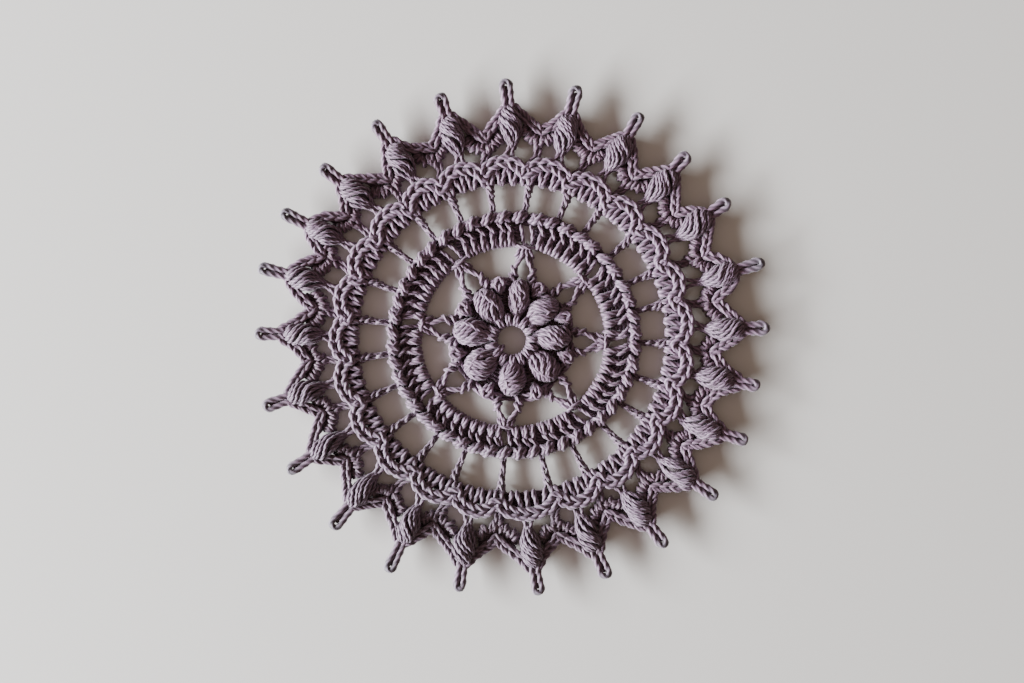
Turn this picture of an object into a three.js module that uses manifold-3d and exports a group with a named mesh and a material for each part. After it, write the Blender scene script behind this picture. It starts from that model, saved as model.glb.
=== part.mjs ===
// A round crochet doily of thick cotton yarn, lying flat on a table with its face up.
// Lengths are millimetres. Angles are degrees, clockwise from +Y when seen from above.
// From the middle outwards: a collar round the centre hole, eight puffed petals, eight forked
// arms, a ring of tall stitches with a knotted ridge, 24 bars, a scalloped band, and an edge
// of 24 puffs on stems, 24 knots between them and 24 upturned picots.
import * as THREE from "three";
import { mergeVertices } from "three/addons/utils/BufferGeometryUtils.js";
import Module from "manifold-3d";

const wasm = await Module();
wasm.setup();

// Driving dimensions. A lean is how far the top of a side stands inside its foot.
const COLLAR = { inner: 6.2, outer: 9.8, height: 4.4, dent: 0.8, lean: 0.6, stitches: 12 };
const PETAL = { height: 8.2, rootTop: 4.4, neckTop: 5, endTop: 4.1 };
const PETAL_WIDTHS = { root: 0.42, neck: 0.55, inner: 0.94, outer: 1, end: 0.5 };
const PETAL_KNOT = { radius: 23.8, width: 3.2, length: 6, height: 4.6, endHeight: 3.2 };
const ARM = { foot: 23.6, bend: 31.6, head: 38.8, width: 3, height: 3.4 };
const ARM_HEAD = { width: 5.4, height: 4.2 };
const TALL_RING = { inner: 40.2, drawnIn: 1.6, drawnSpan: 8, lean: 0.8, post: 3.6, groove: 2.4 };
const RIDGE = { inner: 49, outer: 55.6, lean: 1.7, top: 6, saddle: 4.4, notch: 0.7, lumps: 48 };
const WINDOW = { from: 42.2, to: 46.3, width: 4.2 };
const BAR = { from: 54.3, to: 66.4, width: 2.8, flare: 4.8, height: 3.2 };
const BAND = { inner: 65.2, dip: 73.2, lobe: 78.6, post: 4, groove: 3, braid: 5 };
const BAND_EDGES = { lean: 0.8, braidLean: 2, grooveAt: 0.42, roundness: 0.6, stations: 4 };
const STEM = { from: 76.5, width: 2.6, neckWidth: 3.4, height: 3.2 };
const PUFF = { length: 16, width: 9.8, height: 8.6, lowerShare: 0.94 };
const PICOT = { width: 5.2, rootTop: 5.6, foot: 3, top: 7.2 };
const PICOT_POINT = { length: 1.4, startWidth: 4.4, endWidth: 2.2, endTop: 6.4 };
const KNOT_STEM = { from: 72.6, width: 2.4, neckWidth: 3.4, height: 3 };
const KNOT = { length: 10.4, middleWidth: 6.6, width: 8.2, height: 4.8, underBraid: 1.5 };
const BRAID = { width: 4.6, height: 4.6, hug: 4.8, shoulder: 3.2, crossing: 97.5 };

// The inner rounds lie a little below the middle of the edge.
const INNER_SHIFT_Y = -0.9;

// One row for each petal: its angle, the radii where it starts and ends, its width, and the
// angles of the arm's head and two feet beyond it.
const PETALS = [
  { petal: 9, from: 12.6, to: 25.4, width: 9.6, head: 8, feet: [0, 20] },
  { petal: 46, from: 12.2, to: 24.9, width: 11.4, head: 50, feet: [40, 61] },
  { petal: 86, from: 11.6, to: 24.5, width: 11, head: 91, feet: [81, 103] },
  { petal: 130, from: 11.2, to: 24.1, width: 12, head: 137, feet: [126, 148] },
  { petal: 180, from: 10.2, to: 23, width: 12, head: 184, feet: [172, 195] },
  { petal: 232, from: 10.8, to: 23.4, width: 13, head: 235, feet: [222, 248] },
  { petal: 281, from: 11, to: 24.6, width: 12, head: 280, feet: [270, 290] },
  { petal: 326, from: 11.2, to: 24.6, width: 12, head: 325, feet: [314, 337] },
];

// One row for each repeat of the edge: the picot's tip, the puff's middle and its stem's foot,
// the knot that follows and its outer end, the bar under it, and the dip between two scallops.
const REPEATS = [
  { tip: [358.5, 110.9], puff: [0, 91.2], foot: 359, knot: [7.8, 92.5], bar: 6.2, dip: 4.5 },
  { tip: [14.5, 111.4], puff: [14.7, 90.3], foot: 14.8, knot: [22.6, 91.6], bar: 21.5, dip: 20 },
  { tip: [29.8, 110.9], puff: [29.8, 91.2], foot: 29, knot: [36.7, 89.9], bar: 34.5, dip: 35 },
  { tip: [43.7, 109.2], puff: [44.5, 91.2], foot: 44, knot: [52.2, 91.2], bar: 50, dip: 49 },
  { tip: [57.7, 110.1], puff: [58.5, 92], foot: 57.5, knot: [66.4, 92.9], bar: 65, dip: 63.5 },
  { tip: [73.2, 112.7], puff: [73.3, 93.3], foot: 72.5, knot: [79.4, 91.6], bar: 77.5, dip: 77 },
  { tip: [87.8, 110.1], puff: [87.3, 91.2], foot: 86, knot: [93.8, 89.4], bar: 92, dip: 92 },
  { tip: [101, 107.9], puff: [101.2, 88.2], foot: 101, knot: [109, 90.3], bar: 107.5, dip: 106 },
  { tip: [113.7, 110.1], puff: [115.5, 89.9], foot: 114.3, knot: [122, 90.3], bar: 121, dip: 120 },
  { tip: [128, 111.4], puff: [129, 91.2], foot: 128.5, knot: [136.4, 91.2], bar: 134, dip: 134 },
  { tip: [143.6, 110.9], puff: [144, 90.3], foot: 144, knot: [151.3, 88.6], bar: 151, dip: 149 },
  { tip: [158.3, 110.5], puff: [159, 89.4], foot: 158.8, knot: [166.7, 89.9], bar: 166, dip: 164 },
  { tip: [174, 110.5], puff: [175, 90.3], foot: 175, knot: [184.3, 89], bar: 184, dip: 185 },
  { tip: [192, 110.7], puff: [193, 90.7], foot: 193.9, knot: [202.4, 90.3], bar: 202.5, dip: 200 },
  { tip: [208, 113.5], puff: [209, 91.2], foot: 210, knot: [217.6, 91.2], bar: 217.5, dip: 216 },
  { tip: [223.5, 112.2], puff: [224.8, 91.6], foot: 225.7, knot: [233.4, 91.6], bar: 232.5, dip: 232 },
  { tip: [239.2, 111.8], puff: [240, 91.6], foot: 240.5, knot: [248.2, 90.7], bar: 247.5, dip: 247 },
  { tip: [254.5, 110.5], puff: [255.5, 91.2], foot: 256, knot: [263.3, 90.7], bar: 262.5, dip: 262.5 },
  { tip: [271, 110.1], puff: [271, 89.4], foot: 270.4, knot: [278.3, 89], bar: 277, dip: 277 },
  { tip: [285.6, 112.7], puff: [286, 92.5], foot: 285.2, knot: [293.3, 91.6], bar: 292, dip: 291.5 },
  { tip: [298.7, 112.7], puff: [299.5, 92.5], foot: 299.6, knot: [306.2, 91.6], bar: 307, dip: 305.5 },
  { tip: [312, 110.1], puff: [313, 90.7], foot: 313.8, knot: [321.8, 89.4], bar: 322, dip: 321 },
  { tip: [327.5, 110.1], puff: [328, 89.4], foot: 328.6, knot: [337, 91.2], bar: 336.5, dip: 335 },
  { tip: [343.3, 109.2], puff: [343.8, 90.3], foot: 343.5, knot: [351.9, 89], bar: 351.5, dip: 350 },
];

const UP = new THREE.Vector3(0, 0, 1);

function at(angle, radius, z = 0) {
  const turn = THREE.MathUtils.degToRad(angle);
  return new THREE.Vector3(radius * Math.sin(turn), radius * Math.cos(turn), z);
}

// The angle from a to b, taken the short way round.
function turnBetween(a, b) {
  return THREE.MathUtils.euclideanModulo(b - a + 180, 360) - 180;
}

function mix(a, b, share) {
  return a + (b - a) * share;
}

// A closed skin over rings of points, each ring with as many points as the next. It ends in
// flat caps, or runs back into its first ring.
function loft(rings, isLoop = false) {
  const across = rings[0].length;
  const points = rings.flat();
  const index = [];
  const spans = isLoop ? rings.length : rings.length - 1;
  for (let i = 0; i < spans; i++) {
    const here = i * across;
    const next = ((i + 1) % rings.length) * across;
    for (let j = 0; j < across; j++) {
      const side = (j + 1) % across;
      index.push(here + j, next + j, next + side, here + j, next + side, here + side);
    }
  }
  if (!isLoop) {
    const last = (rings.length - 1) * across;
    for (let j = 1; j < across - 1; j++) {
      index.push(0, j, j + 1);
      index.push(last, last + j + 1, last + j);
    }
  }
  const geometry = new THREE.BufferGeometry().setFromPoints(points);
  geometry.setIndex(index);
  return geometry;
}

// The section of a strip: [across, height] pairs from one edge of its flat foot over the top to
// the other, as shares of half its width and of its height.
const PLAIN_ARCH = [
  [1, 0],
  [0.62, 1],
  [-0.62, 1],
  [-1, 0],
];
const LOBED_ARCH = [
  [1, 0],
  [0.94, 0.6],
  [0.4, 1],
  [-0.4, 1],
  [-0.94, 0.6],
  [-1, 0],
];

// A strip along a route. Each station has its angle and radius, its width and its top, and a
// foot where it is lifted off the table.
function strip(route, arch = PLAIN_ARCH, isLoop = false) {
  const points = route.map(({ angle, radius }) => at(angle, radius));
  const last = points.length - 1;
  const rings = route.map(({ width, top, foot = 0 }, i) => {
    const before = points[isLoop && i === 0 ? last : Math.max(i - 1, 0)];
    const after = points[isLoop && i === last ? 0 : Math.min(i + 1, last)];
    const across = after.clone().sub(before).normalize().cross(UP);
    return arch.map(([side, rise]) => {
      const point = points[i].clone().addScaledVector(across, (width / 2) * side);
      return point.setZ(mix(foot, top, rise));
    });
  });
  return loft(rings, isLoop);
}

// A closed ring. The section is a list of [radius, height] pairs from the inner side over the
// top to the outer side, worked out for each station.
function ring(stations, sectionAt) {
  const rings = stations.map((station) => {
    return sectionAt(station).map(([radius, z]) => at(station.angle, radius, z));
  });
  return loft(rings, true);
}

function evenStations(count) {
  return Array.from({ length: count }, (_, i) => ({ index: i, angle: (360 * i) / count }));
}

function collar() {
  const { inner, outer, height, dent, lean, stitches } = COLLAR;
  return ring(evenStations(2 * stitches), ({ index }) => {
    const top = index % 2 ? height : height - dent;
    return [
      [inner, 0],
      [inner + lean, top],
      [outer - lean, top],
      [outer, 0],
    ];
  });
}

// Tall stitches side by side, drawn in at the arms' heads, with the knotted ridge round them.
function tallRing() {
  const { drawnIn, drawnSpan, lean, post, groove } = TALL_RING;
  return ring(evenStations(2 * RIDGE.lumps), ({ index, angle }) => {
    const nearest = Math.min(...PETALS.map(({ head }) => Math.abs(turnBetween(head, angle))));
    const inner = TALL_RING.inner - drawnIn * Math.max(0, 1 - nearest / drawnSpan);
    const isLump = index % 2;
    const stitchTop = isLump ? post : groove;
    const ridgeTop = isLump ? RIDGE.top : RIDGE.saddle;
    const outer = isLump ? RIDGE.outer : RIDGE.outer - RIDGE.notch;
    return [
      [inner, 0],
      [inner + lean, stitchTop],
      [RIDGE.inner, stitchTop],
      [RIDGE.inner + RIDGE.lean, ridgeTop],
      [RIDGE.outer - RIDGE.lean, ridgeTop],
      [outer, 0],
    ];
  });
}

// The gap in the tall ring over the head of each arm.
function ringWindow(head) {
  const { from, to, width } = WINDOW;
  const box = new THREE.BoxGeometry(width, to - from, 3 * RIDGE.top);
  box.translate(0, (to + from) / 2, 0);
  return box.rotateZ(-THREE.MathUtils.degToRad(head));
}

// A petal on its root, from the collar outwards.
function petal({ petal: angle, from, to, width }) {
  const { height, rootTop, neckTop, endTop } = PETAL;
  const { root, neck, inner, outer, end } = PETAL_WIDTHS;
  return strip(
    [
      { angle, radius: COLLAR.outer - 2 * COLLAR.lean, width: width * root, top: rootTop },
      { angle, radius: from, width: width * neck, top: neckTop },
      { angle, radius: mix(from, to, 0.35), width: width * inner, top: height },
      { angle, radius: mix(from, to, 0.7), width: width * outer, top: height },
      { angle, radius: to, width: width * end, top: endTop },
    ],
    LOBED_ARCH,
  );
}

// Two legs that run together outwards and meet at the tall ring.
function arm({ head, feet: [left, right] }) {
  const { foot, bend, width, height: top } = ARM;
  const bendShare = 0.6;
  return strip([
    { angle: left, radius: foot, width, top },
    { angle: mix(head, left, bendShare), radius: bend, width, top },
    { angle: head, radius: ARM.head, width: ARM_HEAD.width, top: ARM_HEAD.height },
    { angle: mix(head, right, bendShare), radius: bend, width, top },
    { angle: right, radius: foot, width, top },
  ]);
}

// The knot between a petal and the next, on the chain that ties them together.
function petalKnot(row, next) {
  const half = turnBetween(row.petal, next.petal) / 2;
  const reach = half * 0.75;
  const angle = row.petal + half;
  const { radius, width, length, height, endHeight } = PETAL_KNOT;
  return strip([
    { angle: angle - reach, radius: radius - 1, width, top: endHeight },
    { angle, radius, width: length, top: height },
    { angle: angle + reach, radius: radius - 1, width, top: endHeight },
  ]);
}

function bar({ bar: angle }) {
  const { from, to, width, flare, height: top } = BAR;
  return strip([
    { angle, radius: from, width, top },
    { angle, radius: to, width: flare, top },
  ]);
}

// The scalloped band: short posts inside, a groove, and the braid along the scallops.
function band() {
  const { lean, braidLean, grooveAt, roundness, stations: perLobe } = BAND_EDGES;
  const stations = REPEATS.flatMap(({ dip }, i) => {
    const turn = turnBetween(dip, REPEATS[(i + 1) % REPEATS.length].dip);
    return Array.from({ length: perLobe }, (_, j) => {
      const share = j / perLobe;
      return { angle: dip + turn * share, swell: Math.sin(Math.PI * share) ** roundness };
    });
  });
  return ring(stations, ({ swell }) => {
    const outer = mix(BAND.dip, BAND.lobe, swell);
    return [
      [BAND.inner, 0],
      [BAND.inner + lean, BAND.post],
      [mix(BAND.inner, outer, grooveAt), BAND.groove],
      [outer - braidLean, BAND.braid],
      [outer, 0],
    ];
  });
}

// A stem from the band, the puff that it carries, and the upturned picot beyond the puff.
function spike({ tip: [tipAngle, tipRadius], puff: [angle, radius], foot: stemAngle }) {
  const start = radius - PUFF.length / 2;
  const end = radius + PUFF.length / 2;
  const leaning = angle + turnBetween(angle, tipAngle) / 2;
  const { width, height, lowerShare } = PUFF;
  const { foot, top } = PICOT;
  const { length, startWidth, endWidth, endTop } = PICOT_POINT;
  return strip(
    [
      { angle: stemAngle, radius: STEM.from, width: STEM.width, top: STEM.height },
      { angle, radius: start, width: STEM.neckWidth, top: STEM.height },
      {
        angle,
        radius: mix(start, end, 0.3),
        width: width * lowerShare,
        top: height * lowerShare,
      },
      { angle, radius: mix(start, end, 0.6), width, top: height },
      { angle: leaning, radius: end, width: PICOT.width, top: PICOT.rootTop },
      { angle: tipAngle, radius: tipRadius - length, width: startWidth, top, foot },
      { angle: tipAngle, radius: tipRadius, width: endWidth, top: endTop, foot },
    ],
    LOBED_ARCH,
  );
}

// The dark knot in a valley, widening outwards from its stem.
function valleyKnot({ dip, knot: [angle, radius] }) {
  const { length, middleWidth, width, height: top, underBraid } = KNOT;
  const start = radius - length;
  const stemTop = KNOT_STEM.height;
  return strip([
    { angle: dip, radius: KNOT_STEM.from, width: KNOT_STEM.width, top: stemTop },
    { angle, radius: start, width: KNOT_STEM.neckWidth, top: stemTop },
    { angle, radius: mix(start, radius, 0.45), width: middleWidth, top },
    { angle, radius: radius - underBraid, width, top },
  ]);
}

// One braid round the whole edge: out of each valley over a puff's shoulder, across the root
// of its picot, and down the other shoulder into the next valley.
function edgeBraid() {
  const { width, height: top, hug, shoulder, crossing } = BRAID;
  const route = REPEATS.flatMap(({ tip, puff: [angle, radius], knot }) => {
    const aside = THREE.MathUtils.radToDeg(hug / radius);
    const leaning = angle + turnBetween(angle, tip[0]) / 2;
    return [
      { angle: angle - aside, radius: radius + shoulder, width, top },
      { angle: leaning, radius: crossing, width, top },
      { angle: angle + aside, radius: radius + shoulder, width, top },
      { angle: knot[0], radius: knot[1] - width / 2, width, top },
    ];
  });
  return strip(route, PLAIN_ARCH, true);
}

// A closed geometry as a solid that can be joined and cut.
function solidOf(geometry) {
  geometry.deleteAttribute("normal");
  geometry.deleteAttribute("uv");
  const merged = mergeVertices(geometry, 1e-4);
  return new wasm.Manifold(
    new wasm.Mesh({
      numProp: 3,
      vertProperties: new Float32Array(merged.attributes.position.array),
      triVerts: new Uint32Array(merged.index.array),
    }),
  );
}

function joined(geometries) {
  return geometries.map(solidOf).reduce((whole, piece) => whole.add(piece));
}

function geometryOf(solid) {
  const { vertProperties, triVerts } = solid.getMesh();
  const geometry = new THREE.BufferGeometry();
  geometry.setAttribute("position", new THREE.BufferAttribute(vertProperties, 3));
  geometry.setIndex(new THREE.BufferAttribute(triVerts, 1));
  geometry.computeVertexNormals();
  return geometry;
}

function innerRounds() {
  const petals = PETALS.flatMap((row, i) => {
    return [petal(row), petalKnot(row, PETALS[(i + 1) % PETALS.length]), arm(row)];
  });
  const windows = joined(PETALS.map(({ head }) => ringWindow(head)));
  return joined([collar(), ...petals])
    .add(solidOf(tallRing()).subtract(windows))
    .translate([0, INNER_SHIFT_Y, 0]);
}

function edgeRounds() {
  const repeats = REPEATS.flatMap((row) => [bar(row), spike(row), valleyKnot(row)]);
  return joined([band(), edgeBraid(), ...repeats]);
}

function doily() {
  const yarn = new THREE.MeshStandardMaterial({ color: 0x8d7a88, roughness: 0.9, metalness: 0 });
  const solid = innerRounds().add(edgeRounds());
  const geometry = geometryOf(solid);
  geometry.computeBoundingBox();
  const middle = geometry.boundingBox.getCenter(new THREE.Vector3());
  geometry.translate(-middle.x, -middle.y, 0);
  const mesh = new THREE.Mesh(geometry, yarn);
  mesh.name = "doily";
  return mesh;
}

const part = new THREE.Group();
part.add(doily());

export default part;
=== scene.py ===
"""A round crochet doily of thick cotton yarn, lying on a pale table and seen from above.

Every stitch is modelled as lengths of plied yarn. Lengths below are millimetres and angles are
degrees, clockwise from +Y when seen from above, until a mesh is made in metres."""

import math

import bpy
import numpy as np
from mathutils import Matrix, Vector


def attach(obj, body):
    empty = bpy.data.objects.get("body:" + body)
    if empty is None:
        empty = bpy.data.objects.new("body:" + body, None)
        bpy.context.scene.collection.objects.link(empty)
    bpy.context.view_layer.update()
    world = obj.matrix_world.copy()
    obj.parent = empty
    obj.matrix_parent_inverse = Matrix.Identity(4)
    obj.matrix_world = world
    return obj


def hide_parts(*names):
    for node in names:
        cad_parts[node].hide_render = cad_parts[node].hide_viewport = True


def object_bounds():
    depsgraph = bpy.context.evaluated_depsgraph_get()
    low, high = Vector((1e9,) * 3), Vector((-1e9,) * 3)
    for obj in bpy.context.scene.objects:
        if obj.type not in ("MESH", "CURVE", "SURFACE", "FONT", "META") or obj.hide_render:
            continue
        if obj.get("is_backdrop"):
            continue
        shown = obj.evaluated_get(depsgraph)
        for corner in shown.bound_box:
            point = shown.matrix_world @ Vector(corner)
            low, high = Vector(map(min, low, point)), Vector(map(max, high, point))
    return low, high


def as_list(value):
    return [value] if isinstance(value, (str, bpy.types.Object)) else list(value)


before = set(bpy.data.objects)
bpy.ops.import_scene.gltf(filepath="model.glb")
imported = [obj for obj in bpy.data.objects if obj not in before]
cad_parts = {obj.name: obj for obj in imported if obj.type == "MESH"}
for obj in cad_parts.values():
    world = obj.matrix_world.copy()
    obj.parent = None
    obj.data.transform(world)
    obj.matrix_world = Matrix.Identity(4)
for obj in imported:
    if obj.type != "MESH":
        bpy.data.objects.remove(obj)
CAD_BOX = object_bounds()

MM = 0.001
UP = np.array([0.0, 0.0, 1.0])

# The yarn, and the faces round it. The groove is how far in the skin lies between two plies.
YARN = 1.8
HALF_YARN = YARN / 2
PLIES = 3
SIDES_A_PLY = 3
SIDES = PLIES * SIDES_A_PLY
GROOVE = 0.85
# The plies of a strand of full thickness turn once round it in this length.
PLY_PITCH = 8.5
PLY_SEED = 5
# The usual distance between two rings of points along a strand.
STEP = 0.66
# A strand's two ends are thinner, and painted darker over a short reach, as shade where they tuck
# under others.
END = {"thickness": 0.72, "cap": 0.5, "dark": 0.3, "dark_reach": 1.1}
# Painted shade: how dark the yarn gets with its depth in the doily, from a first depth on.
SUNK_SHADE = {"most": 0.42, "from": 0.1, "over": 1.5}

# The drawing's own middle is a little off the middle of the doily's box.
ROW_SHIFT = np.array([0.0207, -0.4406, 0.0])
# The inner rounds lie a little below the middle of the edge.
INNER_SHIFT = np.array([0, -0.9, 0])
# The ring and its ridge are drawn in below the middle and to its left. The shares say how much
# of that each radius takes.
DRAWN_IN = {"below": 3.0, "left": 1.2}
DRAWN_IN_RADII = (28, 40, 51, 56, 66)
DRAWN_IN_SHARES = (0, 0.85, 1.5, 1.5, 0)

# The shape of a puff and of a petal: shares of the length, and of the width there.
PUFF_EGG = (
    (0, 0.1, 0.22, 0.38, 0.54, 0.72, 0.86, 0.94, 1),
    (0.2, 0.4, 0.74, 0.96, 1.0, 1.0, 0.88, 0.66, 0.28),
)
PETAL_EGG = (
    (0, 0.12, 0.3, 0.48, 0.68, 0.84, 0.93, 1),
    (0.34, 0.56, 0.88, 1.0, 0.98, 0.8, 0.56, 0.2),
)

# Puffs and petals have loops over them, loops under them, and loops that cross the others. The
# root is the height of their inner end.
PETAL = {
    "egg": PETAL_EGG, "height": 8.2, "root": 2.8, "radius": 0.98, "tone": 0.0,
    "over": 10, "under": 4, "crossing": 1,
}
PUFF = {
    "egg": PUFF_EGG, "height": 8.6, "root": 2.3, "radius": 0.83, "tone": 0.1,
    "over": 6, "under": 6, "crossing": 0, "width": 10.0,
}
# The puffs near this angle are slimmer, and their loops run more along them.
SLIM = {"turn": 228, "spread": 26}

COLLAR = {"stitches": 15, "half_pair": 5.4}
COILS = {"from": 9.8, "to": 26.5, "apart": 1.72, "height": 1.1}
ARM = {"foot": 24.6, "bend": 31.6, "head": 38.4, "half": 0.9, "pitch": 30, "strand": 1.06}
TALL_RING = {"inner": 40.2, "drawn_in": 1.6, "drawn_span": 8.0, "posts": 67, "clear": 3.4}
RIDGE = {"lumps": 48, "middle": 52.8, "slant_at": 52.5, "cords": (50.2, 52.0, 53.8)}
BAND = {
    "dip": 73.2, "lobe": 78.6, "braid": 6.4, "link": 4.4, "posts": 7, "post_end": 5.6,
    "least_end": 69.0, "cords": (67.0, 68.6, 70.2, 71.8),
}
BRAID = {"width": 5.0, "link": 4.3, "hug": 5.2, "shoulder": 3.2, "crossing": 97.5}
PICOT = {"half": 1.45, "root": 4.6, "tip": 5.6, "strand": 1.5, "inner_strand": 1.1}

# One row for each petal: its angle, the radii where it starts and ends, its width, the angle
# of the arm's head beyond it and those of the arm's two feet.
PETAL_COLUMNS = ("petal", "from", "to", "width", "head", "feet")
PETAL_ROWS = [
    (9, 12.6, 25.4, 9.6, 8, (0, 20)),
    (46, 12.2, 24.9, 11.4, 50, (40, 61)),
    (86, 11.6, 24.5, 11, 91, (81, 103)),
    (130, 11.2, 24.1, 12, 137, (126, 148)),
    (180, 10.2, 23, 12, 184, (172, 195)),
    (232, 10.8, 23.4, 13, 235, (222, 248)),
    (281, 11, 24.6, 12, 280, (270, 290)),
    (326, 11.2, 24.6, 12, 325, (314, 337)),
]
PETALS = [dict(zip(PETAL_COLUMNS, row)) for row in PETAL_ROWS]

# One row for each repeat of the edge: the picot's tip, the puff's middle and its stem's foot,
# the knot that follows and its outer end, the bar under it, and the dip between two scallops.
REPEAT_COLUMNS = ("tip", "tip_r", "puff", "puff_r", "foot", "knot", "knot_r", "bar", "dip")
REPEAT_ROWS = [
    (358.5, 110.9, 0, 91.2, 359, 7.8, 92.5, 6.2, 4.5),
    (14.5, 111.4, 14.7, 90.3, 14.8, 22.6, 91.6, 21.5, 20),
    (29.8, 110.9, 29.8, 91.2, 29, 36.7, 89.9, 34.5, 35),
    (43.7, 109.2, 44.5, 91.2, 44, 52.2, 91.2, 50, 49),
    (57.7, 110.1, 58.5, 92, 57.5, 66.4, 92.9, 65, 63.5),
    (73.2, 112.7, 73.3, 93.3, 72.5, 79.4, 91.6, 77.5, 77),
    (87.8, 110.1, 87.3, 91.2, 86, 93.8, 89.4, 92, 92),
    (101, 107.9, 101.2, 88.2, 101, 109, 90.3, 107.5, 106),
    (113.7, 110.1, 115.5, 89.9, 114.3, 122, 90.3, 121, 120),
    (128, 111.4, 129, 91.2, 128.5, 136.4, 91.2, 134, 134),
    (143.6, 110.9, 144, 90.3, 144, 151.3, 88.6, 151, 149),
    (158.3, 110.5, 159, 89.4, 158.8, 166.7, 89.9, 166, 164),
    (174, 110.5, 175, 90.3, 175, 184.3, 89, 184, 185),
    (192, 110.7, 193, 90.7, 193.9, 202.4, 90.3, 202.5, 200),
    (208, 113.5, 209, 91.2, 210, 217.6, 91.2, 217.5, 216),
    (223.5, 112.2, 224.8, 91.6, 225.7, 233.4, 91.6, 232.5, 232),
    (239.2, 111.8, 240, 91.6, 240.5, 248.2, 90.7, 247.5, 247),
    (254.5, 110.5, 255.5, 91.2, 256, 263.3, 90.7, 262.5, 262.5),
    (271, 110.1, 271, 89.4, 270.4, 278.3, 89, 277, 277),
    (285.6, 112.7, 286, 92.5, 285.2, 293.3, 91.6, 292, 291.5),
    (298.7, 112.7, 299.5, 92.5, 299.6, 306.2, 91.6, 307, 305.5),
    (312, 110.1, 313, 90.7, 313.8, 321.8, 89.4, 322, 321),
    (327.5, 110.1, 328, 89.4, 328.6, 337, 91.2, 336.5, 335),
    (343.3, 109.2, 343.8, 90.3, 343.5, 351.9, 89, 351.5, 350),
]
REPEATS = [dict(zip(REPEAT_COLUMNS, row)) for row in REPEAT_ROWS]

# Linear colours. A strand's tone is 0 for the light yarn and 1 for the dark one. A higher tone on
# strands that lie low or under others is painted shade.
LIGHT_YARN = (0.22, 0.14, 0.217, 1)
DARK_YARN_AND_SHADE = (0.122, 0.062, 0.098, 1)
# The grey of the picots' tips, also used as a painted tint of the window light on the lower left.
GREY_TIPS_AND_WINDOW_TINT = (0.10, 0.10, 0.115, 1)
DEEP_SHADE = (0.02, 0.012, 0.015, 1)
# The yarn turns grey outside a radius at the picots' tips. The lower left gets a little grey too, as
# painted cool light from the window on that side.
TIP_GREY = {"most": 0.7, "from": 102, "over": 8}
WINDOW_TINT_GREY = {"most": 0.28, "from": 30, "over": 30, "turn": 200}
TABLE = {"size": 1.6, "colour": (0.62, 0.605, 0.585, 1), "roughness": 0.55}
# The camera is straight above, in metres. Its view is 440 mm wide at the table.
CAMERA = {"lens": 50, "sensor": 36, "place": (0.0, -0.0019, 0.611)}
WINDOW = {
    "place": (-2.35, -0.42, 0.66), "size": (3.0, 0.5), "power": 545, "colour": (0.95, 0.975, 1.0),
}
ROOM = {"colour": (1.0, 0.76, 0.62, 1), "strength": 0.3}


def at(angle, radius, z=0.0):
    """The place at an angle, a radius and a height. Each may be an array."""
    turn = np.radians(angle)
    across, away = np.sin(turn), np.cos(turn)
    return np.stack(np.broadcast_arrays(radius * across, radius * away, z), -1)


def at_inner(angle, radius, z=0.0):
    """The same in the inner rounds."""
    return at(angle, radius, z) + INNER_SHIFT


def turn_between(a, b):
    """The angle from a to b, taken the short way round."""
    return (b - a + 180) % 360 - 180


def turn_over(aside, radius):
    """The angle that a distance aside takes up at a radius."""
    return np.degrees(aside / radius)


def with_next(rows):
    """Each row with the one that follows it round the doily."""
    return zip(rows, rows[1:] + rows[:1])


def mix(a, b, share):
    return a + (b - a) * share


def run_along(points):
    """How far each point is from the first, along the line through them."""
    steps = np.linalg.norm(np.diff(points, axis=-2), axis=-1)
    return np.concatenate([np.zeros_like(steps[..., :1]), np.cumsum(steps, axis=-1)], -1)


def smooth(points, step):
    """Stations about a step apart along a soft curve through the points."""
    p = np.asarray(points, float)
    p = np.vstack([2 * p[0] - p[1], p, 2 * p[-1] - p[-2]])
    a, b, c, d = (p[i : len(p) - 3 + i, None] for i in range(4))
    t = np.linspace(0, 1, 7)[None, :-1, None]
    curve = 0.5 * (2 * b + (c - a) * t + (2 * a - 5 * b + 4 * c - d) * t**2)
    curve += 0.5 * (3 * b - a - 3 * c + d) * t**3
    curve = np.vstack([curve.reshape(-1, 3), p[-2]])
    run = run_along(curve)
    stations = np.linspace(0, run[-1], max(4, round(run[-1] / step) + 1))
    return np.stack([np.interp(stations, run, curve[:, i]) for i in range(3)], 1)


def drawn_in(points):
    """The tall ring and the ridge lie nearer the middle below it and to its left."""
    radius = np.linalg.norm(points[:, :2], axis=1)
    turn = np.arctan2(points[:, 0], points[:, 1])
    below, left = np.minimum(np.cos(turn), 0), np.minimum(np.sin(turn), 0)
    amount = DRAWN_IN["below"] * below**2 + DRAWN_IN["left"] * left**2
    amount = amount * np.interp(radius, DRAWN_IN_RADII, DRAWN_IN_SHARES)
    scale = 1 - amount / np.maximum(radius, 1.0)
    return points * np.stack([scale, scale, np.ones(len(points))], 1)


class Path:
    """A route that stitches follow. Places on it are (along, aside, up): aside is to the right
    of the way it runs."""

    def __init__(self, points, step=0.4):
        self.points = smooth(points, step)
        self.run = run_along(self.points)
        self.length = self.run[-1]
        way = np.gradient(self.points, axis=0)
        way[:, 2] = 0
        way /= np.linalg.norm(way, axis=1)[:, None]
        self.right = np.stack([way[:, 1], -way[:, 0], np.zeros(len(way))], 1)

    def place(self, along, aside, up):
        along, aside, up = np.broadcast_arrays(along, aside, up)
        point = np.stack([np.interp(along, self.run, self.points[:, i]) for i in range(3)], -1)
        right = np.stack([np.interp(along, self.run, self.right[:, i]) for i in range(3)], -1)
        past_end = np.clip(along, 0, self.length) - along
        way = np.stack([-right[..., 1], right[..., 0], np.zeros(along.shape)], -1)
        point = point - way * past_end[..., None]
        return point + right * aside[..., None] + UP * up[..., None]


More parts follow.
